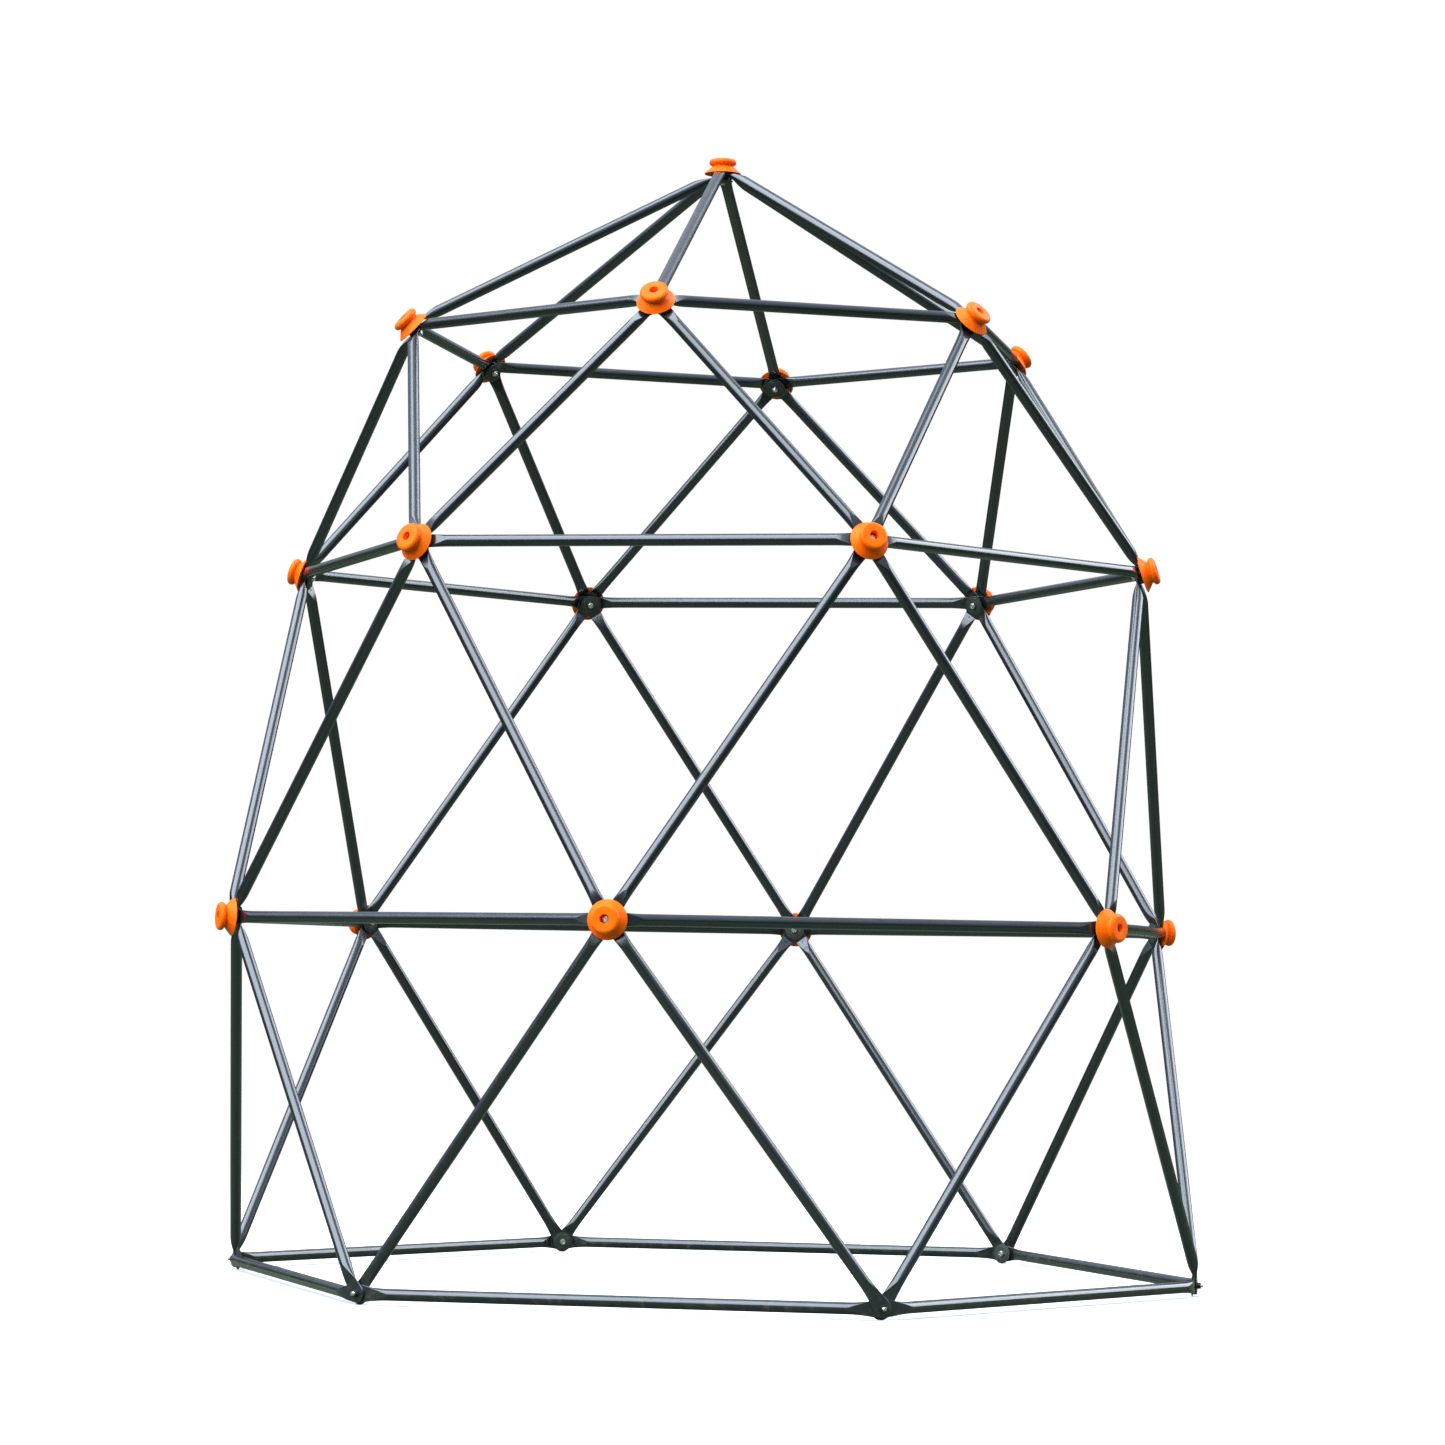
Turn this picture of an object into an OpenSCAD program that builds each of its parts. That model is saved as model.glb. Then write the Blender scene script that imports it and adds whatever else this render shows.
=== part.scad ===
// Dome climber: a bolted six-sided dome of steel struts with hand and foot knobs on its hubs.
// Origin at the centre of the base, on the ground. +Z is up, and hub 1 of each unturned tier faces -Y.
// A tier is a ring of six hubs: crown (one hub), upper, middle, lower and base. The middle and base
// tiers are turned 30 degrees, so every panel of the dome is a triangle.

/* [Strut lengths, bolt to bolt] */
// Struts of the lower ring and of the base ring
long_strut = 1100; // [1060:5:1140]
// Struts of the middle ring, and every diagonal below it
medium_strut = 963; // [930:1:990]
// Struts of the upper ring, and the diagonals from it to the middle ring
short_strut = 718; // [695:1:745]
// Struts from the crown hub to the upper ring
crown_strut_length = 818; // [780:1:860]

/* [Tube] */
// Outside diameter of every strut
tube_d = 25; // [22:0.5:28]
// Wall of the tube
wall = 1.2; // [1:0.1:1.8]
// From a bolt to the bend of the flat end
bend_distance = 30; // [28:1:32]
// Width of the flat end at its bend
neck_w = 30.5; // [30.5:0.5:32]
// From the bend to where the tube is fully round
taper_length = 42; // [38:1:60]
// Hole through a flat end for its bolt
bolt_hole_d = 9; // [8.5:0.5:10]
// Drain hole in the inner side of each end, just past its bend
drain_d = 3; // [2:0.5:3]
// From a bend to the drain hole
drain_distance = 6; // [6:0.5:9]

/* [Hub directions, degrees above level] */
// Bolts of the upper ring
upper_tilt = 41; // [36:1:46]
// Bolts of the middle ring
middle_tilt = 18; // [14:1:24]
// Bolts of the lower ring
lower_tilt = 2.5; // [-2:0.5:6]
// Bolts of the base ring
base_tilt = 0; // [-4:0.5:4]

/* [Knob] */
// Widest diameter, at the flange against the struts
flange_d = 83; // [78:1:88]
// Waist that fingers and toes hook behind
waist_d = 48; // [44:1:52]
// Slope of the flange's back, in degrees above the struts
flange_slope = 41; // [36:1:44]
// Rounded cap
cap_d = 61.5; // [58:0.5:66]
// From the struts to the face of the cap
knob_h = 34; // [33:1:38]
// Counterbore that hides the bolt head
counterbore_d = 19; // [18:0.5:21]
// Floor of the counterbore above the struts
counterbore_floor = 14; // [13:0.5:15]

/* [Fasteners] */
// Shank length of the knob bolts
knob_bolt_length = 40; // [40:1:44]
// Shank length of the base bolts
base_bolt_length = 25; // [24:1:30]
// Dished disc on the inner side of each hub
disc_d = 47; // [42:1:50]
// Raised ring of the disc, and the well in its middle that holds a nut or a bolt head
disc_ring_d = 37; // [30:1:40]
disc_well_d = 19; // [17:0.5:22]

/* [Hidden] */
TIERS = ["upper", "middle", "lower", "base"];
CROWN = 0;
UPPER = 1;
MIDDLE = 2;
LOWER = 3;
BASE = 4;
SECTORS = [1 : 6];
sector = 60;
turn = sector / 2;

paint = "#2f3538";
knob_plastic = "#f5821f";
disc_black = "#1d201f";
zinc = "#c9ccce";

plate_t = 2 * wall;
plate_w = PI * (tube_d - wall) / 2 + wall;
coat = 0.1;
pitch = plate_t + coat;
// Keeps the faces of the spread edges just inside the plate that they join
inset = 0.05;
overlap = 1;
// Rise of a pressed face, from the flat end up to the round tube
slope = (tube_d - plate_t) / 2 / taper_length;
round_fn = 96;
// Turns the seam of a bar's round surface away from its pressed faces
seam_turn = 20;
// From a bend to where the space inside the tube opens
void_start = 3;

// Every bolt is M8, with its thread left out
bolt_d = 8;
washer_t = 1.6;
washer_d = 16;
hex_across_flats = 13;
hex_d = hex_across_flats / cos(30);
head_h = 5.3;
lock_nut_h = 8;
plain_nut_h = 6.5;
thread_gap = 0.1;
disc_t = 1.5;
disc_ring_t = 1;
flange_edge = 1.5;
cap_edge_r = 7.5;

// Radius and height of each tier's hubs. A ring of six has its strut length as its radius, and the
// diagonals between two rings turned by 30 degrees set the height between them. The dome stands on
// the lowest edges of its base hubs, which are those of their discs.
ring_r = [0, short_strut, medium_strut, long_strut, long_strut];
function drop(strut, r1, r2) = sqrt(strut ^ 2 - (r1 ^ 2 + r2 ^ 2 - 2 * r1 * r2 * cos(turn)));
base_z = max(plate_w, disc_d) / 2;
lower_z = base_z + drop(medium_strut, ring_r[LOWER], ring_r[BASE]);
middle_z = lower_z + drop(medium_strut, ring_r[MIDDLE], ring_r[LOWER]);
upper_z = middle_z + drop(short_strut, ring_r[UPPER], ring_r[MIDDLE]);
crown_z = upper_z + sqrt(crown_strut_length ^ 2 - ring_r[UPPER] ^ 2);
hub_z = [crown_z, upper_z, middle_z, lower_z, base_z];
tilt = [90, upper_tilt, middle_tilt, lower_tilt, base_tilt];

// Plates at a hub, counted inwards from the knob. Seen from outside the dome, left is towards the
// hub before and right is towards the hub after.
stack_crown = ["1", "2", "3", "4", "5", "6"];
stack_upper = ["up", "left", "right", "down right", "down left"];
stack_ring = ["up left", "up right", "left", "right", "down right", "down left"];
stack_base = ["up left", "left", "right", "up right"];
stacks = [stack_crown, stack_upper, stack_ring, stack_ring, stack_base];

function unit(v) = v / norm(v);
function across(v, n) = v - (v * n) * n;
function azimuth(tier, k) = sector * (k - 1) + (tier % 2 == 0 ? turn : 0);
function outward(tier, k) = [sin(azimuth(tier, k)), -cos(azimuth(tier, k)), 0];
function hub(tier, k) = ring_r[tier] * outward(tier, k) + [0, 0, hub_z[tier]];
function normal(tier, k) = cos(tilt[tier]) * outward(tier, k) + [0, 0, sin(tilt[tier])];
function layer(tier, slot) = search([slot], stacks[tier])[0];

// One end of a strut: bolt point at mid plate, bolt direction
function seat(tier, k, slot) =
    [hub(tier, k) - (layer(tier, slot) + 0.5) * pitch * normal(tier, k), normal(tier, k)];
// Direction in which an end leaves its bolt, and the bend at the edge of its flat
function leave(from, to) = unit(across(to[0] - from[0], from[1]));
function bend(from, to) = from[0] + bend_distance * leave(from, to);

// Puts children at origin with their +X along x and their +Z along z
module in_frame(origin, x, z) {
    y = cross(z, x);
    multmatrix([
        [x[0], y[0], z[0], origin[0]],
        [x[1], y[1], z[1], origin[1]],
        [x[2], y[2], z[2], origin[2]],
        [0, 0, 0, 1]
    ])
        children();
}

// Puts children on the bolt axis of a hub, with the outer face of the plates at z = 0
module at_hub(tier, k) {
    in_frame(hub(tier, k), unit(cross([0, 0, 1], outward(tier, k))), normal(tier, k)) children();
}

module on_ring(tier) {
    for (k = SECTORS)
        at_hub(tier, k) children();
}

// Inner face of the plates at a hub
function stack_bottom(tier) = -len(stacks[tier]) * pitch;

// Flat end, lying along +X from its bolt at the origin. It narrows from its round tip to its bend, so
// that neighbouring ends in a stack never meet past their bends.
module flat_end() {
    tip_r = plate_w / 2;
    neck = [bend_distance, neck_w / 2];
    touch = atan2(neck[1], neck[0]) + acos(tip_r / norm(neck));
    shoulder = tip_r * [cos(touch), sin(touch)];
    translate([0, 0, -plate_t / 2])
        linear_extrude(plate_t)
            union() {
                circle(r = tip_r, $fn = round_fn);
                polygon([
                    [shoulder[0], -shoulder[1]],
                    [neck[0], -neck[1]],
                    neck,
                    shoulder
                ]);
            }
}

// What a press takes off a bar above and below the XY plane. It leaves half height h at the bend,
// and +X runs from the bend up the slope to the round tube.
module press(h) {
    for (side = [0, 1])
        mirror([0, 0, side])
            rotate([90, 0, 0])
                translate([0, 0, -tube_d])
                    linear_extrude(2 * tube_d)
                        polygon([
                            [-overlap, h - slope * overlap],
                            [taper_length + overlap, h + slope * (taper_length + overlap)],
                            [-overlap, h + slope * (taper_length + overlap)]
                        ]);
}

// Round bar along +X, starting from its bend by the given distance at both ends
module bar(span, r, from_bend) {
    rotate([seam_turn, 0, 0])
        rotate([0, 90, 0])
            translate([0, 0, from_bend])
                cylinder(h = span - 2 * from_bend, r = r, $fn = round_fn);
}

// Spread edges of the crushed length, narrowing from the flat end into the tube along +X
module fins() {
    half_start = neck_w / 2 - inset;
    half_end = tube_d / 2 - overlap;
    translate([0, 0, inset - plate_t / 2])
        linear_extrude(plate_t - 2 * inset)
            polygon([
                [-overlap, -half_start],
                [taper_length, -half_end],
                [taper_length, half_end],
                [-overlap, half_start]
            ]);
}

module bolt_hole() {
    cylinder(h = tube_d, d = bolt_hole_d, center = true, $fn = round_fn);
}

// Drain hole from the space inside the tube to its inner side, with +X running up the tube from its bend
module drain_hole() {
    translate([drain_distance, 0, -tube_d])
        cylinder(h = tube_d, d = drain_d, $fn = round_fn);
}

// A strut between two seats: round tube crushed to a flat end at both, and bent there
module strut(a, b) {
    start = bend(a, b);
    stop = bend(b, a);
    span = norm(stop - start);
    axis = (stop - start) / span;
    level_a = unit(across(a[1], axis));
    level_b = unit(across(b[1], axis));
    color(paint)
        difference() {
            union() {
                difference() {
                    in_frame(start, axis, level_a) bar(span, tube_d / 2, 0);
                    in_frame(start, axis, level_a) press(plate_t / 2);
                    in_frame(stop, -axis, level_b) press(plate_t / 2);
                }
                in_frame(start, axis, level_a) fins();
                in_frame(stop, -axis, level_b) fins();
                in_frame(a[0], leave(a, b), a[1]) flat_end();
                in_frame(b[0], leave(b, a), b[1]) flat_end();
            }
            difference() {
                in_frame(start, axis, level_a) bar(span, tube_d / 2 - wall, void_start);
                in_frame(start, axis, level_a) press(0);
                in_frame(stop, -axis, level_b) press(0);
            }
            in_frame(a[0], leave(a, b), a[1]) bolt_hole();
            in_frame(b[0], leave(b, a), b[1]) bolt_hole();
            in_frame(start, axis, level_a) drain_hole();
            in_frame(stop, -axis, level_b) drain_hole();
        }
}

module crown_strut(k) {
    strut(seat(CROWN, 1, str(k)), seat(UPPER, k, "up"));
}

module ring_strut(tier, k) {
    strut(seat(tier, k, "right"), seat(tier, k + 1, "left"));
}

// The two struts that go down from hub k of a tier to the tier below, as a V turned upside down
module diagonals(tier, k) {
    left_below = azimuth(tier, k) > azimuth(tier + 1, k) ? k : k - 1;
    strut(seat(tier, k, "down left"), seat(tier + 1, left_below, "up right"));
    strut(seat(tier, k, "down right"), seat(tier + 1, left_below + 1, "up left"));
}

// Spool-shaped hand and foot hold
module knob() {
    flange_r = flange_d / 2;
    waist_r = waist_d / 2;
    cap_r = cap_d / 2 - cap_edge_r;
    waist_z = flange_edge + (flange_r - waist_r) * tan(flange_slope);
    color(knob_plastic)
        difference() {
            rotate_extrude($fn = round_fn) {
                polygon([
                    [0, 0],
                    [flange_r - 1, 0],
                    [flange_r, 1],
                    [flange_r, flange_edge],
                    [waist_r, waist_z],
                    [waist_r, knob_h - cap_edge_r],
                    [0, knob_h - cap_edge_r]
                ]);
                translate([0, knob_h - 2 * cap_edge_r])
                    square([cap_r, 2 * cap_edge_r]);
                intersection() {
                    translate([cap_r, knob_h - cap_edge_r])
                        circle(r = cap_edge_r, $fn = round_fn);
                    translate([0, knob_h - 2 * cap_edge_r])
                        square([cap_d / 2, 2 * cap_edge_r]);
                }
            }
            translate([0, 0, -overlap])
                cylinder(h = knob_h, d = bolt_hole_d, $fn = round_fn);
            translate([0, 0, counterbore_floor])
                cylinder(h = knob_h, d = counterbore_d, $fn = round_fn);
        }
}

module washer(d, hole, h) {
    difference() {
        cylinder(h = h, d = d, $fn = round_fn);
        translate([0, 0, -overlap])
            cylinder(h = h + 2 * overlap, d = hole, $fn = round_fn);
    }
}

module hex_nut(h) {
    difference() {
        cylinder(h = h, d = hex_d, $fn = 6);
        translate([0, 0, -overlap])
            cylinder(h = h + 2 * overlap, d = bolt_d + thread_gap, $fn = round_fn);
    }
}

// Hex bolt with the underside of its head at z = 0 and its shank along -Z
module hex_bolt(length) {
    cylinder(h = head_h, d = hex_d, $fn = 6);
    translate([0, 0, -length])
        cylinder(h = length + overlap, d = bolt_d, $fn = round_fn);
}

module knob_bolt() {
    color(zinc)
        translate([0, 0, counterbore_floor + washer_t])
            hex_bolt(knob_bolt_length);
}

module bolt_washer() {
    color(zinc)
        translate([0, 0, counterbore_floor])
            washer(washer_d, bolt_hole_d, washer_t);
}

// Dished disc under the plates, with a raised ring around the well in its middle
module backing_disc(tier) {
    color(disc_black)
        translate([0, 0, stack_bottom(tier) - disc_t])
            difference() {
                union() {
                    cylinder(h = disc_t, d = disc_d, $fn = round_fn);
                    translate([0, 0, -disc_ring_t])
                        cylinder(h = disc_ring_t + disc_t / 2, d = disc_ring_d, $fn = round_fn);
                }
                cylinder(h = 2 * tube_d, d = bolt_hole_d, center = true, $fn = round_fn);
                mirror([0, 0, 1])
                    cylinder(h = tube_d, d = disc_well_d, $fn = round_fn);
            }
}

module lock_nut(tier) {
    color(zinc)
        translate([0, 0, stack_bottom(tier) - disc_t - lock_nut_h])
            hex_nut(lock_nut_h);
}

// Base bolts go in from inside the dome, so their threaded ends point outwards
module base_bolt() {
    color(zinc)
        translate([0, 0, stack_bottom(BASE) - disc_t])
            rotate([180, 0, 0])
                hex_bolt(base_bolt_length);
}

module base_washer() {
    color(disc_black)
        washer(washer_d, bolt_hole_d, washer_t);
}

module base_nut() {
    color(disc_black)
        translate([0, 0, washer_t])
            hex_nut(plain_nut_h);
}

module crown_knob() {
    at_hub(CROWN, 1) knob();
}

module crown_bolt() {
    at_hub(CROWN, 1) knob_bolt();
}

module ring_knobs(tier) {
    on_ring(tier) knob();
}

module knob_bolts() {
    for (tier = [UPPER : LOWER])
        on_ring(tier) knob_bolt();
}

module bolt_washers() {
    at_hub(CROWN, 1) bolt_washer();
    for (tier = [UPPER : LOWER])
        on_ring(tier) bolt_washer();
}

module backing_discs() {
    at_hub(CROWN, 1) backing_disc(CROWN);
    for (tier = [UPPER : BASE])
        on_ring(tier) backing_disc(tier);
}

module lock_nuts() {
    at_hub(CROWN, 1) lock_nut(CROWN);
    for (tier = [UPPER : LOWER])
        on_ring(tier) lock_nut(tier);
}

module base_bolts() {
    on_ring(BASE) base_bolt();
}

module base_washers() {
    on_ring(BASE) base_washer();
}

module base_nuts() {
    on_ring(BASE) base_nut();
}

for (k = SECTORS) {
    crown_strut(k);
    ring_strut(UPPER, k);
    ring_strut(MIDDLE, k);
    ring_strut(LOWER, k);
    ring_strut(BASE, k);
    diagonals(UPPER, k);
    diagonals(MIDDLE, k);
    diagonals(LOWER, k);
}
crown_knob();
ring_knobs(UPPER);  // upper_knobs
ring_knobs(MIDDLE);  // middle_knobs
ring_knobs(LOWER);  // lower_knobs
crown_bolt();
knob_bolts();
bolt_washers();
backing_discs();
lock_nuts();
base_bolts();
base_washers();
base_nuts();
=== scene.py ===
import math

import bmesh
import bpy
import numpy as np
from mathutils import Matrix, Vector


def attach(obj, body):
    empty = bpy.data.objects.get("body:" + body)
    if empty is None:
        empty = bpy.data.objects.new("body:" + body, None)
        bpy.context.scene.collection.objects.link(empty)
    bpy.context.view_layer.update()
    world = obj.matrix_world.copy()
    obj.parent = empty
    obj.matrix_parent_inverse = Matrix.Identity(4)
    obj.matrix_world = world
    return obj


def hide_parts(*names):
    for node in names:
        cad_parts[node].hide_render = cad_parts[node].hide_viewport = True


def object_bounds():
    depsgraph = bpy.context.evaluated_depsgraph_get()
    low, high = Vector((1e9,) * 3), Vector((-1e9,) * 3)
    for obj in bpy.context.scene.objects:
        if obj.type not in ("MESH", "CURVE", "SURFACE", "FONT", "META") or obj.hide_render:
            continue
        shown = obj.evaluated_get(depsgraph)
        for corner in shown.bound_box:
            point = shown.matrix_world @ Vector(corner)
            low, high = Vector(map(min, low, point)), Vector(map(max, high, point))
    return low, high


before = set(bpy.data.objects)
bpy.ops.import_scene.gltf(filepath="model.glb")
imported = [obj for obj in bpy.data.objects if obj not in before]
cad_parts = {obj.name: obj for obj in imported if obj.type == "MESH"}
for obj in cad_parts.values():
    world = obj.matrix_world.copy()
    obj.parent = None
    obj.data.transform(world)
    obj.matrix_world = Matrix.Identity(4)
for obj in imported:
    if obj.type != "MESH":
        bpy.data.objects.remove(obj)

cad_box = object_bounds()
MM = 0.001
BODY = "root"
UP = np.array([0.0, 0.0, 1.0])

# Strut: steel tube crushed flat at both ends. Distances run from a bolt, or from a bend. The openings are
# powers that say how fast the rounded edges and the thickness of a flat end grow into the round tube.
TUBE_R = 12.5 * MM
WALL = 1.2 * MM
FLAT_HALF_T = WALL
TIP_R = 19.3 * MM
NECK_HALF_W = 15.25 * MM
PLATE_REACH = 20 * MM
BEND_AT = 30 * MM
BEND_EASE = 5 * MM
TAPER = 43 * MM
EDGE_OPENING = 3
THICKNESS_OPENING = 1.7
BOLT_HOLE_R = 4.5 * MM
DRAIN_R = 1.5 * MM
DRAIN_FROM_BEND = 6 * MM
SIDE_POINTS = 18
FLAT_STEPS = 8
BEND_STEPS = 8
TAPER_STEPS = 18
MIDDLE_STEPS = 6
CREASE_ANGLE = 16
HOLE_SIDES = 32

# Knob, from its flange against the struts (z = 0) to the face of its cap.
KNOB_FLANGE_R = 41.5 * MM
KNOB_WAIST_R = 24 * MM
KNOB_CAP_EDGE_R = 7.5 * MM
KNOB_CAP_R = 30.75 * MM
KNOB_H = 34 * MM
KNOB_WELL_R = 9.5 * MM
KNOB_WELL_FLOOR = 14 * MM
LATHE_SIDES = 96

# Dished disc, from its raised ring (z = 0) to the struts.
DISC_RING_R = 18.5 * MM
DISC_WELL_R = 9.5 * MM
DISC_RING_H = 1 * MM

# Fasteners.
HEX_FLAT_R = 6.5 * MM
HEX_CORNER_R = HEX_FLAT_R / math.cos(math.radians(30))
HEX_DOME_FALL = 0.9 * MM
BOLT_R = 4 * MM
BOLT_SIDES = 48
THREAD_PITCH = 1.25 * MM
THREAD_DEPTH = 0.55 * MM
THREAD_LENGTH = 16 * MM
BOLT_HEAD_H = 5.3 * MM
BOLT_HEAD_FOOT = 0.4 * MM
NUT_CLEARANCE = 0.05 * MM
NUT_CHAMFER = 0.5 * MM
COLLAR_H = 2.2 * MM
COLLAR_R = 0.93 * HEX_FLAT_R
COLLAR_EDGE_R = 0.7 * MM
FASTENER_SIDES = 72
FASTENER_TURN = 137.5

# Camera, from the middle of the base.
CAMERA_AZIMUTH = 10.99
CAMERA_DISTANCE = 10.528
CAMERA_HEIGHT = 0.7222
CAMERA_PITCH = 2.91
CAMERA_HEADING = -0.1
CAMERA_ROLL = 0.87
CAMERA_LENS = 116.44

# Colours that lie over a base colour where dust, mud or wear shows, and the knobs' painted shade with grime
# in their hollows. Mud reaches up to MUD_TOP.
DUST = (0.16, 0.165, 0.16)
MUD = (0.11, 0.085, 0.055)
MUD_TOP = 0.11
RUBBED_COAT = (0.09, 0.10, 0.105)
WORN_COAT = (0.12, 0.13, 0.135)
WORN_STEEL = (0.12, 0.12, 0.115)
# Dark red painted shade, with some grime, for the knobs' hollows and where they meet other pieces.
KNOB_SHADE_AND_GRIME = (0.45, 0.045, 0.004)
WHITE = (1, 1, 1, 1)

# Sky colours by height: 0 is level and below, 1 is straight overhead.
SKY = (
    (0.0, (0.025, 0.038, 0.020, 1)),
    (0.10, (0.05, 0.065, 0.045, 1)),
    (0.30, (0.38, 0.46, 0.54, 1)),
    (0.9, (0.86, 1.00, 1.18, 1)),
)
FLOOR_R = 90


# ---------------------------------------------------------------- places read from the frame

def solids(node):
    """Vertices of each separate solid in a CAD node, as a list of arrays."""
    bm = bmesh.new()
    bm.from_mesh(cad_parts[node].data)
    bmesh.ops.remove_doubles(bm, verts=bm.verts, dist=1e-6)
    for v in bm.verts:
        v.tag = False
    found = []
    for seed in bm.verts:
        if seed.tag:
            continue
        seed.tag = True
        group, front = [], [seed]
        while front:
            v = front.pop()
            group.append(tuple(v.co))
            for edge in v.link_edges:
                other = edge.other_vert(v)
                if not other.tag:
                    other.tag = True
                    front.append(other)
        found.append(np.array(group))
    bm.free()
    return found


def unit(v):
    return v / np.linalg.norm(v)


def across(v, n):
    """The part of v at right angles to unit vector n."""
    return v - (v @ n) * n


def bolt_axis(solid):
    """A point on a bolt's axis and its direction out of the dome. A bolt is longest along its axis."""
    middle = solid.mean(0)
    axis = np.linalg.eigh(np.cov((solid - middle).T))[1][:, -1]
    dome_middle = np.array([0, 0, cad_box[1].z / 2])
    return middle, axis * np.sign(axis @ (middle - dome_middle))


AXES = [bolt_axis(s) for node in ("crown_bolt", "knob_bolts", "base_bolts") for s in solids(node)]


def nearest_axis(solid):
    """The hub axis that a fastener or knob sits on."""
    middle = solid.mean(0)
    return min(AXES, key=lambda a: np.linalg.norm(a[0] - middle))


def stand(solid, outward=1):
    """Placement matrix for a turned piece: its z = 0 at the solid's low end, +Z along the hub axis."""
    point, normal = nearest_axis(solid)
    z = normal * outward
    level = np.cross(UP, z)
    x = unit(level) if np.linalg.norm(level) > 0.1 else np.array([1.0, 0, 0])
    foot = point + z * ((solid - point) @ z).min()
    return Matrix(np.vstack([np.column_stack([x, np.cross(z, x), z, foot]), [0, 0, 0, 1]]).tolist())


def seats(solid):
    """The two bolt points of a strut, at mid plate, each with its bolt direction."""
    found = []
    for point, normal in AXES:
        along = (solid - point) @ normal
        away = np.linalg.norm(solid - point - np.outer(along, normal), axis=1)
        near = along[(away < PLATE_REACH) & (abs(along) < 2 * BEND_AT)]
        if len(near):
            found.append((point + normal * (near.min() + near.max()) / 2, normal))
    return found


# ---------------------------------------------------------------- mesh helpers

def mesh_from(name, verts, faces, sharp_angle):
    """A mesh whose faces all point outwards, smooth apart from edges sharper than the angle."""
    mesh = bpy.data.meshes.new(name)
    mesh.from_pydata([tuple(v) for v in verts], [], faces)
    mesh.validate()
    bm = bmesh.new()
    bm.from_mesh(mesh)
    bmesh.ops.recalc_face_normals(bm, faces=bm.faces)
    bm.to_mesh(mesh)
    bm.free()
    finish_shading(mesh, sharp_angle)
    return mesh


def finish_shading(mesh, sharp_angle):
    mesh.shade_smooth()
    mesh.set_sharp_from_angle(angle=math.radians(sharp_angle))


def tube_faces(rings, sides, closed=False):
    """Quads that join rings of vertices, one ring after the next."""
    faces = []
    for i in range(rings if closed else rings - 1):
        a, b = i * sides, (i + 1) % rings * sides
        for j in range(sides):
            k = (j + 1) % sides
            faces.append((a + j, a + k, b + k, b + j))
    return faces


def arc(cx, cz, r, start, stop, steps):
    """Points of an arc in the (radius, height) plane, angles in degrees."""
    angles = np.radians(np.linspace(start, stop, steps + 1))
    return [(cx + r * math.cos(a), cz + r * math.sin(a)) for a in angles]


def hex_radius(angle):
    """Radius of a fastener's hexagon at an angle, in radians."""
    sector = math.radians(60)
    return HEX_FLAT_R / math.cos((angle + sector / 2) % sector - sector / 2)


def ring(r, z, sides, limit=None):
    """A level ring of vertices of radius r, cut down to limit(angle) where that is smaller."""
    verts = []
    for j in range(sides):
        angle = 2 * math.pi * j / sides
        radius = min(r, limit(angle)) if limit else r
        verts.append((radius * math.cos(angle), radius * math.sin(angle), z))
    return verts


def turned(name, outline, sides=LATHE_SIDES, hexed=(), sharp_angle=35):
    """Turns a closed (radius, height) outline. The rows listed in hexed are cut to a hexagon."""
    verts = []
    for row, (r, z) in enumerate(outline):
        verts += ring(r, z, sides, hex_radius if row in hexed else None)
    return mesh_from(name, verts, tube_faces(len(outline), sides, closed=True), sharp_angle)


def capped(name, verts, sides, sharp_angle):
    """Joins rings of vertices into a tube and closes both its ends."""
    faces = tube_faces(len(verts) // sides, sides)
    faces.append(tuple(range(sides)))
    faces.append(tuple(range(len(verts) - sides, len(verts))))
    return mesh_from(name, verts, faces, sharp_angle)


def piece(name, mesh, node, matrix=None):
    """One shown piece of the dome, in place of a CAD node or of one of its solids."""
    obj = bpy.data.objects.new(name, mesh)
    bpy.context.scene.collection.objects.link(obj)
    if matrix is not None:
        obj.matrix_world = matrix
    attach(obj, BODY)
    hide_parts(node)
    return obj


# ---------------------------------------------------------------- struts

def pressed_section(centre, wide, thick, d):
    """One section at distance d from a bolt: pressed flat above and below, with a round edge each side."""
    half_w, half_t = half_width(d), half_thickness(d)
    opened = 1 - (1 - taper_share(d)) ** EDGE_OPENING
    edge_h = FLAT_HALF_T + (TUBE_R - FLAT_HALF_T) * opened
    edge_w = min(FLAT_HALF_T + (half_w - FLAT_HALF_T) * opened, half_w)
    crease = math.asin(min(half_t / edge_h, 1))
    points = []
    for side in (1, -1):
        for angle in np.linspace(-crease, crease, SIDE_POINTS):
            x = half_w - edge_w + edge_w * math.cos(angle)
            points.append(centre + wide * side * x + thick * side * edge_h * math.sin(angle))
    return points


def taper_share(d):
    """0 on the flat end, rising to 1 where the tube is fully round."""
    return min(max((d - BEND_AT) / TAPER, 0), 1)


def half_width(d):
    """Half the width of a strut at distance d from its bolt: round tip, narrowing flat, round tube."""
    if d < 0:
        return max(math.sqrt(max(TIP_R ** 2 - d ** 2, 0)), FLAT_HALF_T)
    if d < BEND_AT:
        t = d / BEND_AT
        narrowed = 1.9 * t * t - 0.9 * t ** 3
        return TIP_R + (NECK_HALF_W - TIP_R) * narrowed
    return TUBE_R + (NECK_HALF_W - TUBE_R) * (1 - taper_share(d)) ** 2


def half_thickness(d):
    """Half the thickness of a strut at distance d from its bolt, as the crushed tube opens again."""
    return FLAT_HALF_T + (TUBE_R - FLAT_HALF_T) * (1 - (1 - taper_share(d)) ** THICKNESS_OPENING)


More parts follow.
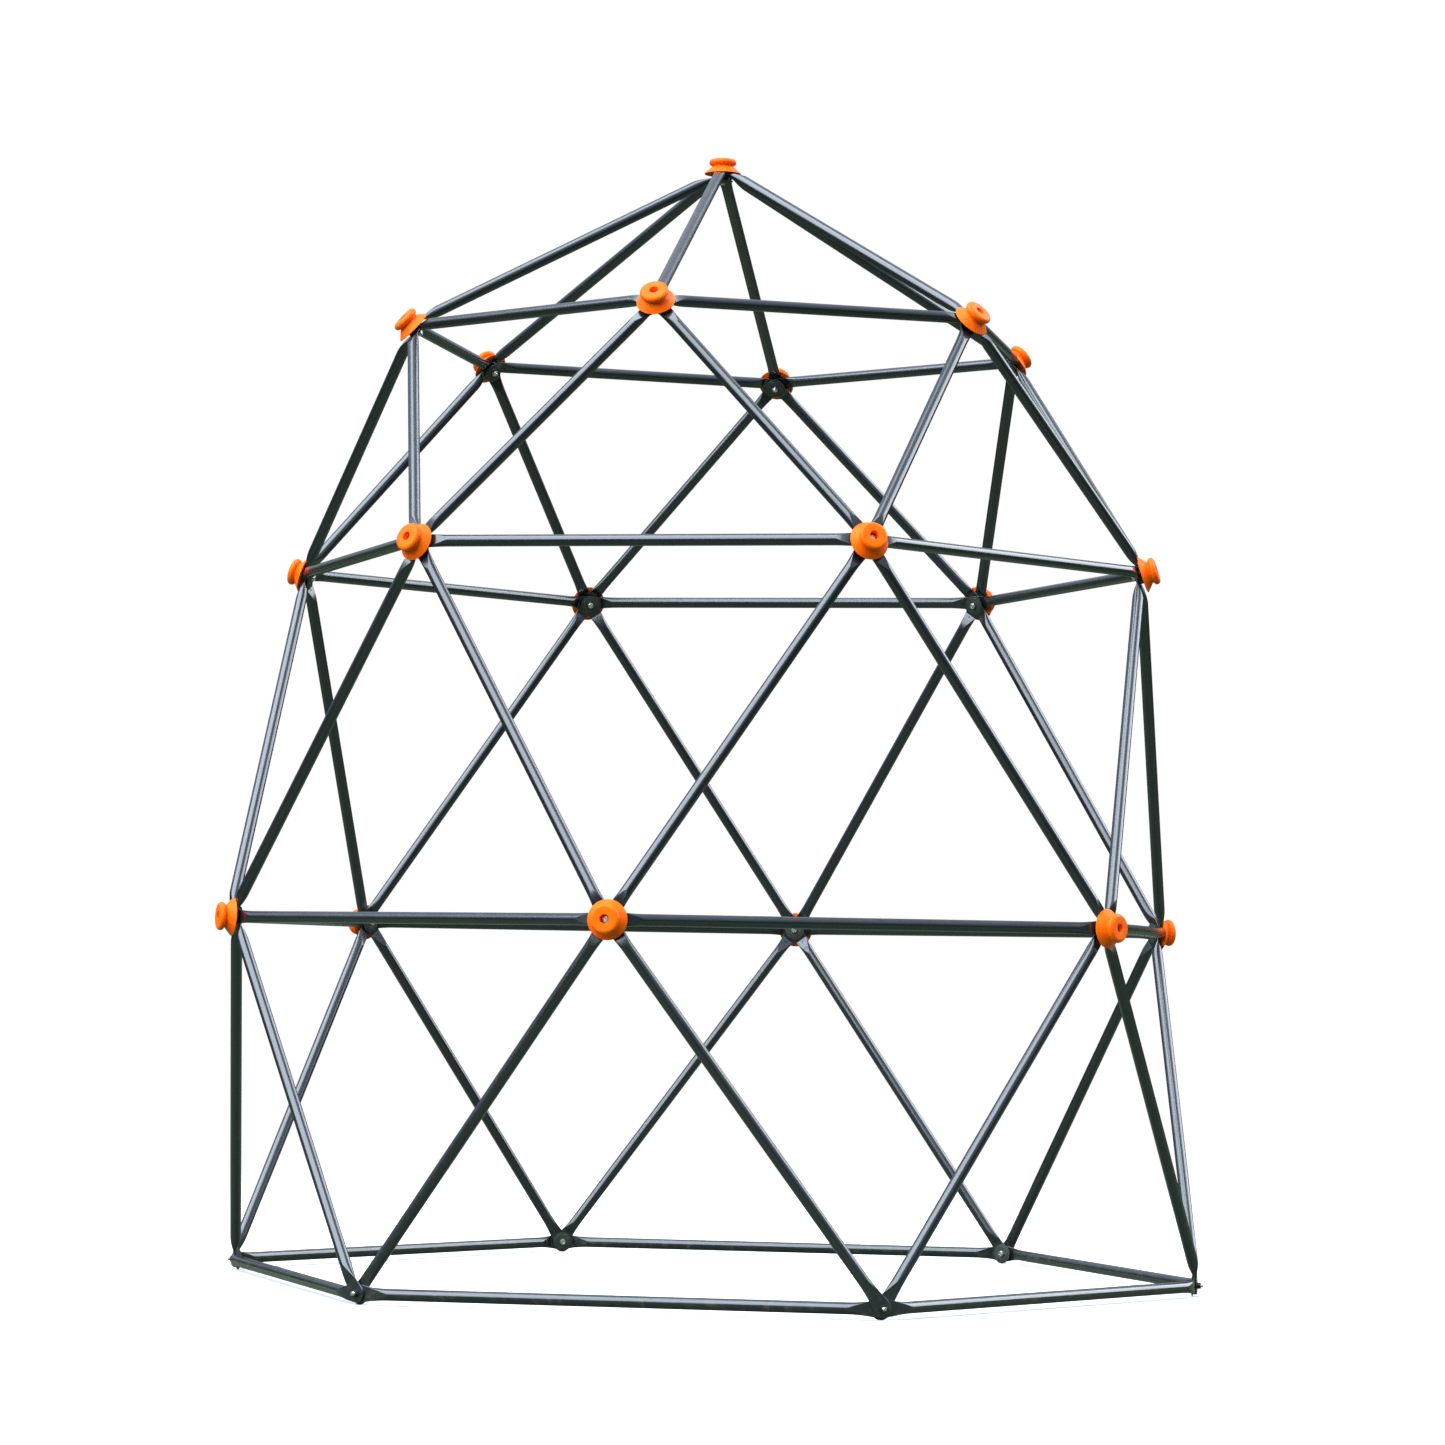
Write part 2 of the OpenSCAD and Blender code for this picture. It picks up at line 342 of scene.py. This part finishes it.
def end_sections(seat, leave, axis):
    """Sections from the tip of a flat end to the round tube, as (centre, wide, thick, distance)."""
    point, normal = seat
    wide = np.cross(normal, leave)
    bend = point + leave * BEND_AT
    rows = []
    for angle in (88, 80, 70, 60, 50, 40, 30, 20, 10, 0):
        d = -TIP_R * math.sin(math.radians(angle))
        rows.append((point + leave * d, wide, normal, d))
    for d in np.linspace(0, BEND_AT - BEND_EASE, FLAT_STEPS)[1:]:
        rows.append((point + leave * d, wide, normal, d))
    for t in np.linspace(0, 1, BEND_STEPS)[1:-1]:
        centre = bend - leave * BEND_EASE * (1 - t) ** 2 + axis * BEND_EASE * t ** 2
        tangent = unit(leave * (1 - t) + axis * t)
        rows.append((centre, *section_axes(wide, tangent), BEND_AT + BEND_EASE * (2 * t - 1)))
    for s in np.linspace(BEND_EASE, TAPER, TAPER_STEPS):
        rows.append((bend + axis * s, *section_axes(wide, axis), BEND_AT + s))
    return rows


def section_axes(wide, tangent):
    side = unit(across(wide, tangent))
    return side, np.cross(tangent, side)


def middle_sections(start, stop, axis):
    """Sections of the round tube between two others, turned evenly from the first one to the last."""
    side_a, side_b = start[1], stop[1]
    turn = math.atan2(np.cross(side_a, side_b) @ axis, side_a @ side_b)
    rows = []
    for t in np.linspace(0, 1, MIDDLE_STEPS + 2)[1:-1]:
        side = side_a * math.cos(turn * t) + np.cross(axis, side_a) * math.sin(turn * t)
        centre = start[0] * (1 - t) + stop[0] * t
        rows.append((centre, side, np.cross(axis, side), BEND_AT + TAPER))
    return rows


def end_holes(seat, bend, along):
    """The bolt hole of one end of a strut, and the drain hole on its inner side, as drill takes them."""
    point, normal = seat
    inner = unit(across(-normal, along))
    drain = bend + along * DRAIN_FROM_BEND
    return [(point, normal, BOLT_HOLE_R, 6 * WALL), (drain + inner * 3 * WALL, inner, DRAIN_R, 5 * WALL)]


def strut_mesh(name, solid):
    """A whole strut: flat end, taper, tube, taper, flat end, with its bolt and drain holes."""
    a, b = seats(solid)
    leave_a = unit(across(b[0] - a[0], a[1]))
    leave_b = unit(across(a[0] - b[0], b[1]))
    start, stop = a[0] + leave_a * BEND_AT, b[0] + leave_b * BEND_AT
    axis = unit(stop - start)
    first = end_sections(a, leave_a, axis)
    last = [(c, -w, n, d) for c, w, n, d in end_sections(b, leave_b, -axis)][::-1]
    rows = first + middle_sections(first[-1], last[0], axis) + last
    verts = [p for row in rows for p in pressed_section(*row)]
    mesh = capped(name, verts, 2 * SIDE_POINTS, CREASE_ANGLE)
    drill(mesh, end_holes(a, start, axis) + end_holes(b, stop, -axis))
    finish_shading(mesh, CREASE_ANGLE)
    return mesh


def cutter_mesh(holes):
    """Cylinders for a set of holes, each given as (middle, direction, radius, length)."""
    bm = bmesh.new()
    for point, direction, r, length in holes:
        turn = Vector(direction).to_track_quat("Z", "Y").to_matrix().to_4x4()
        bmesh.ops.create_cone(bm, cap_ends=True, segments=HOLE_SIDES, radius1=r, radius2=r,
                              depth=length, matrix=Matrix.Translation(Vector(point)) @ turn)
    mesh = bpy.data.meshes.new("cutter")
    bm.to_mesh(mesh)
    bm.free()
    return mesh


def drill(mesh, holes):
    """Cuts round holes into a mesh."""
    tool = cutter_mesh(holes)
    cutter = bpy.data.objects.new("cutter", tool)
    body = bpy.data.objects.new("body", mesh)
    for obj in (cutter, body):
        bpy.context.scene.collection.objects.link(obj)
    cut = body.modifiers.new("holes", "BOOLEAN")
    cut.operation = "DIFFERENCE"
    cut.solver = "EXACT"
    cut.object = cutter
    bpy.context.view_layer.update()
    done = bpy.data.meshes.new_from_object(body.evaluated_get(bpy.context.evaluated_depsgraph_get()))
    bm = bmesh.new()
    bm.from_mesh(done)
    bm.to_mesh(mesh)
    bm.free()
    for obj in (cutter, body):
        bpy.data.objects.remove(obj)
    for leftover in (done, tool):
        bpy.data.meshes.remove(leftover)


def add_struts():
    names = [n for n in sorted(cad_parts) if "strut" in n or "diagonals" in n]
    for node in names:
        parts = solids(node)
        for number, solid in enumerate(parts):
            name = f"{node}_tube" if len(parts) == 1 else f"{node}_tube_{'ab'[number]}"
            mesh = strut_mesh(name, solid)
            mesh.materials.append(POWDER_COAT)
            piece(name, mesh, node)


# ---------------------------------------------------------------- knobs

def knob_outline():
    """Closed outline of the spool-shaped knob, from the bolt hole round to the counterbore."""
    cap_r = KNOB_CAP_R - KNOB_CAP_EDGE_R
    cap_z = KNOB_H - KNOB_CAP_EDGE_R
    waist_arc = 1.6 * MM
    waist_x = KNOB_WAIST_R + waist_arc
    waist_z = cap_z - math.sqrt((KNOB_CAP_EDGE_R + waist_arc) ** 2 - (waist_x - cap_r) ** 2)
    meet = math.degrees(math.atan2(cap_z - waist_z, cap_r - waist_x))
    cone = 49  # the way the flange's back faces, in degrees above level
    lip = 1.0 * MM
    ease = 0.8 * MM
    chamfer = 0.4 * MM
    dip = 0.2 * MM
    points = [(BOLT_HOLE_R, chamfer), (BOLT_HOLE_R + chamfer, 0)]
    points += [(KNOB_FLANGE_R * 0.6, 0)]
    points += arc(KNOB_FLANGE_R - lip, lip, lip, -90, cone, 8)
    points += arc(waist_x, waist_z, waist_arc, 180 + cone, meet, 12)
    points += arc(cap_r, cap_z, KNOB_CAP_EDGE_R, meet - 180, 90, 26)[1:]
    points += [((cap_r + KNOB_WELL_R) / 2, KNOB_H - 0.75 * dip)]
    points += arc(KNOB_WELL_R + ease, KNOB_H - dip - ease, ease, 90, 180, 6)
    points += arc(KNOB_WELL_R - ease, KNOB_WELL_FLOOR + ease, ease, 0, -90, 4)
    points += [(BOLT_HOLE_R, KNOB_WELL_FLOOR)]
    return points


def add_knobs():
    mesh = turned("knob", knob_outline())
    mesh.materials.append(ORANGE_PLASTIC)
    for node in ("crown_knob", "upper_knobs", "middle_knobs", "lower_knobs"):
        for number, solid in enumerate(solids(node)):
            piece(f"{node.rstrip('s')}_{number + 1}", mesh, node, stand(solid))


# ---------------------------------------------------------------- fasteners

def domed_corners(z, inward):
    """Rows where a hexagon's corners are rounded off towards its face at height z, corner last."""
    rows = [(HEX_FLAT_R * 0.96, z), (HEX_FLAT_R * 1.04, z + inward * HEX_DOME_FALL * 0.25)]
    return rows + [(HEX_CORNER_R, z + inward * HEX_DOME_FALL)]


def hex_rows(low, high, dome_low=True):
    """Outline rows up the side of a hexagon. Its top is domed, and its foot too unless said otherwise."""
    foot = domed_corners(low, 1) if dome_low else [(HEX_CORNER_R, low)]
    return foot + domed_corners(high, -1)[::-1]


def thread_radius(angle, z):
    """Radius of a bolt's thread: a ridge that climbs one pitch in a turn."""
    phase = (z / THREAD_PITCH - angle / (2 * math.pi)) % 1
    return BOLT_R - THREAD_DEPTH * abs(2 * phase - 1)


def shank_rings(length):
    """Rings of a bolt's shank from its tip up, threaded over THREAD_LENGTH."""
    core_r = BOLT_R - THREAD_DEPTH
    step = THREAD_PITCH / 8
    verts = ring(core_r - 0.4 * MM, 0.0, BOLT_SIDES) + ring(core_r, 0.0, BOLT_SIDES)
    for z in np.arange(3 * step, THREAD_LENGTH, step):
        verts += ring(BOLT_R, z, BOLT_SIDES, lambda angle: thread_radius(angle, z))
    verts += ring(BOLT_R, THREAD_LENGTH + THREAD_PITCH / 2, BOLT_SIDES)
    return verts + ring(BOLT_R, length, BOLT_SIDES)


def head_rings(low):
    """Rings of a bolt's head from a height up: round foot, hexagon, shallow hollow on top."""
    foot = low + BOLT_HEAD_FOOT
    top = low + BOLT_HEAD_H
    verts = ring(HEX_FLAT_R * 0.95, low, BOLT_SIDES) + ring(HEX_FLAT_R * 0.95, foot, BOLT_SIDES)
    for r, z in hex_rows(foot, top, dome_low=False):
        verts += ring(r, z, BOLT_SIDES, hex_radius)
    verts += ring(HEX_FLAT_R * 0.6, top, BOLT_SIDES)
    return verts + ring(HEX_FLAT_R * 0.55, top - 0.3 * MM, BOLT_SIDES)


def bolt_mesh(node):
    """Hex bolt with its tip at z = 0 and its head on top."""
    length = thickness(solids(node)[0]) - BOLT_HEAD_H
    return capped(node, shank_rings(length) + head_rings(length), BOLT_SIDES, 30)


def nut_mesh(node):
    """Plain hex nut, z = 0 at its outer end."""
    height = thickness(solids(node)[0])
    bore = BOLT_R + NUT_CLEARANCE
    below = [(bore, NUT_CHAMFER), (bore + NUT_CHAMFER, 0)]
    above = [(bore + NUT_CHAMFER, height), (bore, height - NUT_CHAMFER)]
    return hexed_turning(node, below, hex_rows(0, height), above)


def lock_nut_mesh(node):
    """Hex nut with a round collar at its outer end (z = 0), which holds its plastic insert."""
    height = thickness(solids(node)[0])
    bore = BOLT_R + NUT_CLEARANCE
    insert_r = bore + 1.3 * MM
    below = [(insert_r, NUT_CHAMFER), (insert_r, 0), (HEX_FLAT_R * 0.86, 0)]
    below += arc(COLLAR_R - COLLAR_EDGE_R, COLLAR_EDGE_R, COLLAR_EDGE_R, -90, 0, 4)
    below += [(COLLAR_R, COLLAR_H)]
    above = [(bore + NUT_CHAMFER, height), (bore, height - NUT_CHAMFER), (bore, NUT_CHAMFER)]
    return hexed_turning(node, below, hex_rows(COLLAR_H, height), above)


def hexed_turning(name, below, hexagon, above):
    """Turns an outline whose middle rows are cut to a hexagon."""
    hexed = range(len(below), len(below) + len(hexagon))
    return turned(name, below + hexagon + above, FASTENER_SIDES, hexed, sharp_angle=28)


def washer_mesh(node, edge):
    """Flat washer with rounded outer edges, z = 0 on one face."""
    solid = solids(node)[0]
    r, height = reach(solid), thickness(solid)
    outline = [(BOLT_HOLE_R, height), (BOLT_HOLE_R, 0)]
    outline += arc(r - edge, edge, edge, -90, 0, 4)
    outline += arc(r - edge, height - edge, edge, 0, 90, 4)
    return turned(node, outline, FASTENER_SIDES, sharp_angle=40)


def disc_mesh(node):
    """Dished backing disc: a flat rim, a raised ring with rounded shoulders, and a well in its middle."""
    solid = solids(node)[0]
    r, height = reach(solid), thickness(solid)
    edge = 0.6 * MM
    ease = 0.45 * MM
    outline = [(BOLT_HOLE_R, height), (BOLT_HOLE_R, DISC_RING_H)]
    outline += arc(DISC_WELL_R - ease, DISC_RING_H - ease, ease, 90, 0, 3)
    outline += arc(DISC_WELL_R + ease, ease, ease, 180, 270, 4)
    outline += arc(DISC_RING_R - ease, ease, ease, -90, 0, 4)
    outline += arc(DISC_RING_R + ease, DISC_RING_H - ease, ease, 180, 90, 3)
    outline += arc(r - edge, DISC_RING_H + edge, edge, -90, 0, 4)
    outline += [(r, height)]
    return turned(node, outline, LATHE_SIDES, sharp_angle=50)


def thickness(solid):
    """Length of a fastener along its hub axis."""
    point, normal = nearest_axis(solid)
    along = (solid - point) @ normal
    return along.max() - along.min()


def reach(solid):
    """Largest radius of a fastener about its hub axis."""
    point, normal = nearest_axis(solid)
    away = solid - point
    return np.linalg.norm(away - np.outer(away @ normal, normal), axis=1).max()


def spin(matrix, number):
    """Turns a fastener about its own axis, each by a different amount, as hand tightening leaves it."""
    return matrix @ Matrix.Rotation(math.radians(FASTENER_TURN * number), 4, "Z")


def add_family(node, material, mesh, outward=1):
    """Replaces every solid of a fastener node with a copy of one finely built mesh."""
    mesh.materials.append(material)
    for number, solid in enumerate(solids(node)):
        piece(f"{node}_{number + 1}", mesh, node, spin(stand(solid, outward), number))


def add_fasteners():
    for node, outward in (("crown_bolt", 1), ("knob_bolts", 1), ("base_bolts", -1)):
        add_family(node, ZINC, bolt_mesh(node), outward)
    add_family("bolt_washers", ZINC, washer_mesh("bolt_washers", 0.3 * MM))
    add_family("base_washers", BLACK_STEEL, washer_mesh("base_washers", 0.35 * MM))
    add_family("backing_discs", DISC_STEEL, disc_mesh("backing_discs"))
    add_family("lock_nuts", ZINC, lock_nut_mesh("lock_nuts"))
    add_family("base_nuts", BLACK_STEEL, nut_mesh("base_nuts"))


# ---------------------------------------------------------------- materials

class Shader:
    """A node material with short helpers for the parts it is made of."""

    def __init__(self, name):
        self.material = bpy.data.materials.new(name)
        self.material.use_nodes = True
        self.tree = self.material.node_tree
        self.surface = self.tree.nodes["Principled BSDF"]
        self.place = self.tree.nodes.new("ShaderNodeTexCoord").outputs["Object"]
        self.own = self.tree.nodes.new("ShaderNodeObjectInfo").outputs["Random"]

    def link(self, source, target):
        self.tree.links.new(source, target)

    def noise(self, scale, detail=3.0, stretch=None):
        node = self.tree.nodes.new("ShaderNodeTexNoise")
        node.inputs["Scale"].default_value = scale
        node.inputs["Detail"].default_value = detail
        place = self.place
        if stretch:
            mapping = self.tree.nodes.new("ShaderNodeMapping")
            mapping.inputs["Scale"].default_value = stretch
            self.link(place, mapping.inputs["Vector"])
            place = mapping.outputs["Vector"]
        self.link(place, node.inputs["Vector"])
        return node.outputs["Fac"]

    def ramp(self, source, low, high, to_low=0.0, to_high=1.0):
        node = self.tree.nodes.new("ShaderNodeMapRange")
        node.interpolation_type = "SMOOTHSTEP"
        for key, value in (("From Min", low), ("From Max", high), ("To Min", to_low), ("To Max", to_high)):
            node.inputs[key].default_value = value
        self.link(source, node.inputs["Value"])
        return node.outputs["Result"]

    def maths(self, operation, a, b):
        node = self.tree.nodes.new("ShaderNodeMath")
        node.operation = operation
        for socket, value in zip(node.inputs, (a, b)):
            if isinstance(value, (int, float)):
                socket.default_value = value
            else:
                self.link(value, socket)
        return node.outputs["Value"]

    def blend(self, share, a, b):
        """Colour a where share is 0 and b where it is 1. A Mix node's colours are its sockets 6 and 7."""
        node = self.tree.nodes.new("ShaderNodeMix")
        node.data_type = "RGBA"
        self.link(share, node.inputs[0])
        for socket, value in ((node.inputs[6], a), (node.inputs[7], b)):
            if isinstance(value, tuple):
                socket.default_value = (*value, 1.0)
            else:
                self.link(value, socket)
        return node.outputs[2]

    def overlay(self, colour, mask, strength, top):
        """Lays colour top over another one, as densely as mask times strength."""
        return self.blend(self.maths("MULTIPLY", mask, strength), colour, top)

    def bump(self, height, strength, distance, before=None):
        node = self.tree.nodes.new("ShaderNodeBump")
        node.inputs["Strength"].default_value = strength
        node.inputs["Distance"].default_value = distance
        self.link(height, node.inputs["Height"])
        if before is not None:
            self.link(before, node.inputs["Normal"])
        return node.outputs["Normal"]

    def upward(self, output):
        """The Z part of the surface's Normal or Position."""
        geometry = self.tree.nodes.new("ShaderNodeNewGeometry")
        split = self.tree.nodes.new("ShaderNodeSeparateXYZ")
        self.link(geometry.outputs[output], split.inputs[0])
        return split.outputs["Z"]

    def occlusion(self, distance, inside):
        node = self.tree.nodes.new("ShaderNodeAmbientOcclusion")
        node.inputs["Distance"].default_value = distance
        node.samples = 4
        node.inside = inside
        return node.outputs["AO"]

    def shaded_hollows(self):
        """High in hollows and where pieces meet, where shade falls: the mask for painted shade."""
        return self.ramp(self.occlusion(12 * MM, False), 0.75, 0.2)

    def edges(self):
        """High on sharp outer edges, where a coat wears first."""
        return self.ramp(self.occlusion(1.2 * MM, True), 0.85, 0.45)

    def set(self, key, value):
        socket = self.surface.inputs[key]
        if isinstance(value, (int, float)):
            socket.default_value = value
        elif isinstance(value, tuple):
            socket.default_value = (*value, 1.0)
        else:
            self.link(value, socket)


def powder_coat():
    """Charcoal powder coat: orange peel, slight cloudiness, dust on top and a little mud at the foot."""
    s = Shader("charcoal_powder_coat")
    cloud = s.ramp(s.noise(2.3, 3), 0.3, 0.7)
    colour = s.blend(cloud, (0.005, 0.006, 0.008), (0.009, 0.011, 0.014))
    dust = s.maths("MULTIPLY", s.ramp(s.upward("Normal"), 0.35, 1.0), s.ramp(s.noise(26, 5), 0.45, 0.8))
    colour = s.overlay(colour, dust, 0.12, DUST)
    low = s.ramp(s.upward("Position"), MUD_TOP, 0.0)
    mud = s.maths("MULTIPLY", low, s.ramp(s.noise(55, 6), 0.5, 0.72))
    colour = s.overlay(colour, mud, 0.35, MUD)
    rubbed = s.ramp(s.noise(38, 6), 0.62, 0.74)
    colour = s.overlay(colour, rubbed, 0.08, RUBBED_COAT)
    worn = s.maths("MULTIPLY", s.edges(), s.ramp(s.noise(150, 5), 0.40, 0.62))
    colour = s.overlay(colour, worn, 0.35, WORN_COAT)
    s.set("Base Color", colour)
    rough = s.maths("ADD", s.ramp(s.noise(9, 4), 0.3, 0.7, 0.24, 0.30), s.maths("MULTIPLY", dust, 0.10))
    s.set("Roughness", rough)
    s.set("Specular IOR Level", 0.75)
    s.set("Specular Tint", (0.86, 0.94, 1.0))
    s.set("Coat Weight", 0.5)
    s.set("Coat Roughness", 0.12)
    peel = s.bump(s.noise(420, 2), 0.03, 0.00010)
    s.set("Normal", s.bump(s.noise(45, 2), 0.045, 0.0006, peel))
    return s.material


def orange_plastic():
    """Moulded orange plastic, faint flow marks, painted shade and grime in hollows. Each knob has its own
    tone.
    """
    s = Shader("moulded_orange_plastic")
    flow = s.ramp(s.noise(30, 3, (1, 1, 0.25)), 0.3, 0.7)
    colour = s.blend(flow, (0.96, 0.118, 0.001), (1.0, 0.140, 0.002))
    colour = s.overlay(colour, s.own, 0.25, (0.98, 0.155, 0.002))
    # Painted shade: ambient occlusion, broken up by noise as grime, darkens the knob in its hollows and
    # joins.
    shade_and_grime = s.maths("MULTIPLY", s.shaded_hollows(), s.ramp(s.noise(120, 5), 0.3, 0.7))
    colour = s.overlay(colour, shade_and_grime, 0.15, KNOB_SHADE_AND_GRIME)
    s.set("Base Color", colour)
    s.set("Roughness", s.ramp(s.noise(60, 4), 0.3, 0.7, 0.36, 0.46))
    s.set("Specular IOR Level", 0.3)
    s.set("Specular Tint", (1.0, 0.62, 0.22))
    s.set("Subsurface Weight", 0.08)
    s.surface.inputs["Subsurface Radius"].default_value = (0.004, 0.0015, 0.0005)
    s.set("Subsurface Scale", 1.0)
    grain = s.bump(s.noise(900, 2), 0.04, 0.00008)
    s.set("Normal", s.bump(s.noise(95, 3), 0.05, 0.0005, grain))
    return s.material


def zinc_plate():
    """Bright zinc plate with faint yellow bloom and handling marks."""
    s = Shader("bright_zinc_plate")
    bloom = s.ramp(s.noise(160, 4), 0.35, 0.75)
    s.set("Base Color", s.blend(bloom, (0.78, 0.79, 0.80), (0.66, 0.64, 0.57)))
    s.set("Metallic", 1.0)
    s.set("Roughness", s.ramp(s.noise(420, 5), 0.3, 0.7, 0.2, 0.38))
    s.set("Normal", s.bump(s.noise(900, 3, (1, 1, 0.2)), 0.15, 0.0001))
    return s.material


def black_steel(name, deep, light):
    """Black coated steel, a little more matt than the struts, with worn high spots."""
    s = Shader(name)
    cloud = s.ramp(s.noise(90, 4), 0.3, 0.7)
    colour = s.blend(cloud, deep, light)
    worn = s.ramp(s.noise(260, 5), 0.64, 0.74)
    s.set("Base Color", s.overlay(colour, worn, 0.15, WORN_STEEL))
    s.set("Roughness", s.ramp(s.noise(200, 4), 0.3, 0.7, 0.40, 0.52))
    s.set("Normal", s.bump(s.noise(1100, 2), 0.2, 0.00015))
    return s.material


# ---------------------------------------------------------------- stage, light and camera

def mix_shaders(tree, share, first, second):
    """The first shader where share is 0 and the second one where it is 1."""
    node = tree.nodes.new("ShaderNodeMixShader")
    for socket, source in zip(node.inputs, (share, first, second)):
        tree.links.new(source, socket)
    return node.outputs[0]


def camera_ray(tree):
    """1 for what the camera sees directly, and 0 for what lights the object or shows in it."""
    return tree.nodes.new("ShaderNodeLightPath").outputs["Is Camera Ray"]


def pale_floor():
    """Pale near the object and white further out. It lights the object as dark ground would."""
    s = Shader("pale_floor")
    s.set("Base Color", (0.82, 0.82, 0.81))
    s.set("Roughness", 0.9)
    distance = s.tree.nodes.new("ShaderNodeVectorMath")
    distance.operation = "LENGTH"
    s.link(s.place, distance.inputs[0])
    far = s.ramp(distance.outputs["Value"], 1.5, 6.0)
    glow = s.tree.nodes.new("ShaderNodeEmission")
    glow.inputs["Color"].default_value = WHITE
    ground = s.tree.nodes.new("ShaderNodeBsdfDiffuse")
    s.link(s.blend(far, (0.10, 0.13, 0.085), (0.03, 0.045, 0.025)), ground.inputs["Color"])
    seen = mix_shaders(s.tree, far, s.surface.outputs[0], glow.outputs[0])
    both = mix_shaders(s.tree, camera_ray(s.tree), ground.outputs[0], seen)
    s.link(both, s.tree.nodes["Material Output"].inputs["Surface"])
    return s.material


def add_floor():
    """A disc so wide that no horizon shows."""
    bm = bmesh.new()
    bmesh.ops.create_circle(bm, cap_ends=True, segments=LATHE_SIDES, radius=FLOOR_R)
    mesh = bpy.data.meshes.new("floor")
    bm.to_mesh(mesh)
    bm.free()
    mesh.materials.append(pale_floor())
    floor = bpy.data.objects.new("floor", mesh)
    bpy.context.scene.collection.objects.link(floor)
    floor.location.z = cad_box[0].z - 0.5 * MM


def add_world():
    """White behind the object, and a soft cool sky that is brighter overhead for light and reflections."""
    world = bpy.data.worlds.new("studio")
    bpy.context.scene.world = world
    world.use_nodes = True
    tree = world.node_tree
    tree.nodes.clear()
    place = tree.nodes.new("ShaderNodeTexCoord").outputs["Generated"]
    split = tree.nodes.new("ShaderNodeSeparateXYZ")
    tree.links.new(place, split.inputs[0])
    ramp = tree.nodes.new("ShaderNodeValToRGB")
    tree.links.new(split.outputs["Z"], ramp.inputs[0])
    stops = ramp.color_ramp.elements
    stops.remove(stops[1])
    stops[0].position, stops[0].color = SKY[0]
    for height, colour in SKY[1:]:
        stops.new(height).color = colour
    sky = tree.nodes.new("ShaderNodeBackground")
    tree.links.new(ramp.outputs[0], sky.inputs["Color"])
    white = tree.nodes.new("ShaderNodeBackground")
    white.inputs["Color"].default_value = WHITE
    output = tree.nodes.new("ShaderNodeOutputWorld")
    both = mix_shaders(tree, camera_ray(tree), sky.outputs[0], white.outputs[0])
    tree.links.new(both, output.inputs["Surface"])


def add_light(name, towards, angle, power, colour):
    """A soft light from one direction, as wide as the given angle."""
    data = bpy.data.lights.new(name, "SUN")
    data.angle = math.radians(angle)
    data.energy = power
    data.color = colour
    light = bpy.data.objects.new(name, data)
    bpy.context.scene.collection.objects.link(light)
    light.location = Vector(towards) * 6
    light.rotation_euler = Vector(towards).to_track_quat("Z", "Y").to_euler()


def add_lights():
    add_light("key", (-0.40, -0.52, 0.76), 75, 7.0, (0.90, 0.96, 1.05))
    add_light("rim", (0.72, 0.42, 0.55), 45, 2.4, (0.95, 0.98, 1.03))


def add_camera():
    data = bpy.data.cameras.new("camera")
    data.sensor_width = 36
    data.lens = CAMERA_LENS
    data.clip_end = 200
    camera = bpy.data.objects.new("camera", data)
    bpy.context.scene.collection.objects.link(camera)
    azimuth = math.radians(CAMERA_AZIMUTH)
    place = Vector((math.sin(azimuth), -math.cos(azimuth), 0)) * CAMERA_DISTANCE
    place.z = CAMERA_HEIGHT
    turn = Matrix.Rotation(math.radians(CAMERA_AZIMUTH + CAMERA_HEADING), 4, "Z")
    turn = turn @ Matrix.Rotation(math.radians(90 + CAMERA_PITCH), 4, "X")
    turn = turn @ Matrix.Rotation(math.radians(CAMERA_ROLL), 4, "Z")
    camera.matrix_world = Matrix.Translation(place) @ turn
    bpy.context.scene.camera = camera


POWDER_COAT = powder_coat()
ORANGE_PLASTIC = orange_plastic()
ZINC = zinc_plate()
BLACK_STEEL = black_steel("black_coated_steel", (0.005, 0.006, 0.006), (0.012, 0.013, 0.013))
DISC_STEEL = black_steel("charcoal_disc_steel", (0.022, 0.027, 0.023), (0.036, 0.042, 0.037))

add_struts()
add_knobs()
add_fasteners()
add_floor()
add_world()
add_lights()
add_camera()
bpy.context.scene.view_settings.view_transform = "Standard"
